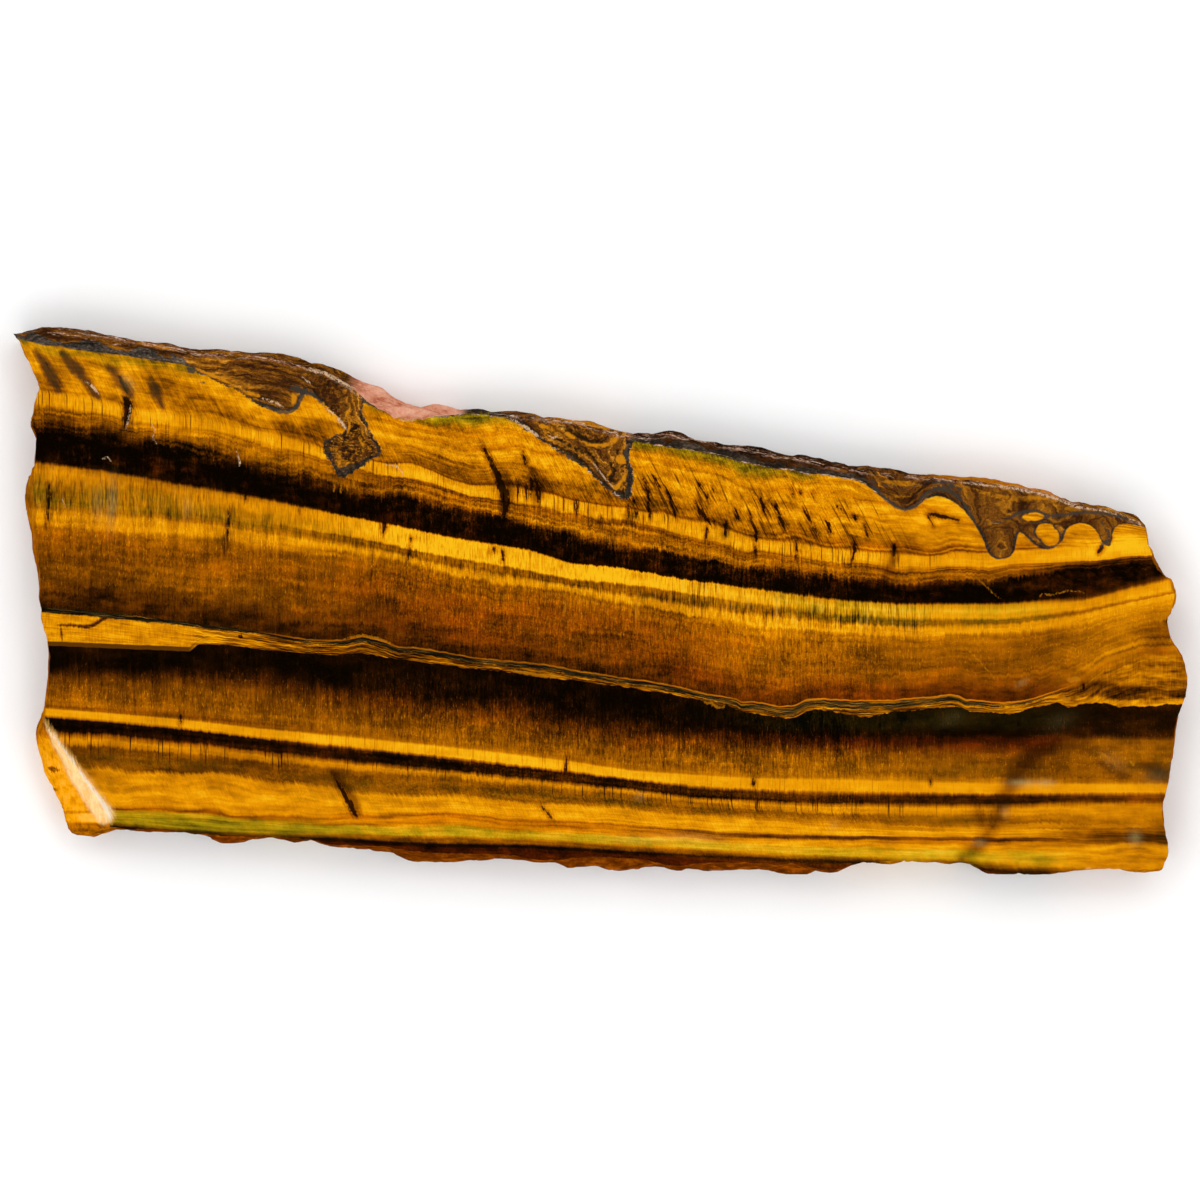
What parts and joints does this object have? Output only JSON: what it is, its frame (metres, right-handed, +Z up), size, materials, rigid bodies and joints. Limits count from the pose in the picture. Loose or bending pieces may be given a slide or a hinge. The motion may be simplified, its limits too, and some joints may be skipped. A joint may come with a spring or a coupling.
{
  "type": "tiger's eye slab",
  "caption": "Flat slice of banded golden-brown tiger's eye with one polished face, a sawn back and rough broken edges, one corner chipped.",
  "frame": {"origin": "under the middle of the slab's box, on the surface that it lies on", "axes": "+X along the slab's length, towards the end with the stepped notch; +Y across the bands, towards the dark crust; +Z up, out of the polished face"},
  "size_m": [0.1498, 0.07, 0.0085],
  "materials": {
    "tigers_eye": "polished face with silky golden and dark brown bands, matte broken edges, sawn back"
  },
  "bodies": {
    "root": {"tigers_eye_slab": "tigers_eye"}
  },
  "joints": []
}
